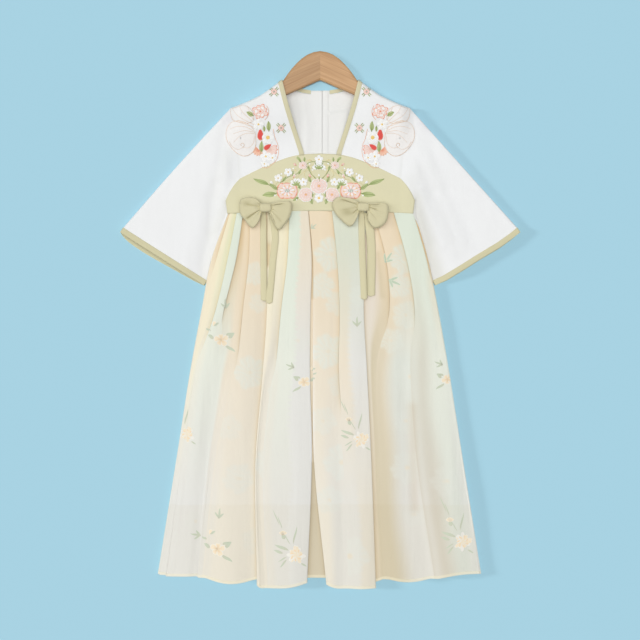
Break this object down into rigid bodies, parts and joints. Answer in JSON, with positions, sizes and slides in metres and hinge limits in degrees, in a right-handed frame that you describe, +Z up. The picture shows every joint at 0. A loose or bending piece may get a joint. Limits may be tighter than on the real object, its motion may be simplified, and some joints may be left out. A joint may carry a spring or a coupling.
{
  "type": "hanfu robe on a hanger",
  "caption": "Child's hanfu dress laid flat on its back, with wide sleeves, a raised chest band with bows, a pleated skirt and a plain wooden hanger in its shoulders.",
  "frame": {"origin": "on the surface that the dress lies on, under the middle of its bounding box", "axes": "+X to the right across the front, +Y from the hem to the neck, +Z up from the surface"},
  "size_m": [0.6005, 0.8045, 0.0205],
  "materials": {
    "white_crepe": "matt woven crepe",
    "sage_binding": "matt woven binding",
    "sage_crepe": "matt crepe with printed embroidery motifs",
    "printed_chiffon": "soft chiffon with a pale floral print",
    "white_lining": "plain lining",
    "organza": "sheer organza",
    "beech": "lacquered beech"
  },
  "bodies": {
    "root": {"back_placket": "white_crepe", "bodice_back_left": "white_crepe", "bodice_back_right": "white_crepe", "bodice_front_left": "white_crepe", "bodice_front_right": "white_crepe", "bow_left_knot": "sage_crepe", "bow_left_loop_left": "sage_crepe", "bow_left_loop_right": "sage_crepe", "bow_left_tail_left": "sage_crepe", "bow_left_tail_right": "sage_crepe", "bow_right_knot": "sage_crepe", "bow_right_loop_left": "sage_crepe", "bow_right_loop_right": "sage_crepe", "bow_right_tail_left": "sage_crepe", "bow_right_tail_right": "sage_crepe", "chest_band_back": "sage_crepe", "chest_band_front": "sage_crepe", "cuff_binding_left": "sage_binding", "cuff_binding_right": "sage_binding", "hanger": "beech", "neck_binding_back_left": "sage_binding", "neck_binding_back_right": "sage_binding", "neck_binding_front_left": "sage_binding", "neck_binding_front_right": "sage_binding", "petal_left_lower": "organza", "petal_left_upper": "organza", "petal_right_lower": "organza", "petal_right_upper": "organza", "skirt_back": "printed_chiffon", "skirt_front": "printed_chiffon", "skirt_lining": "white_lining", "sleeve_left": "white_crepe", "sleeve_right": "white_crepe"}
  },
  "joints": []
}
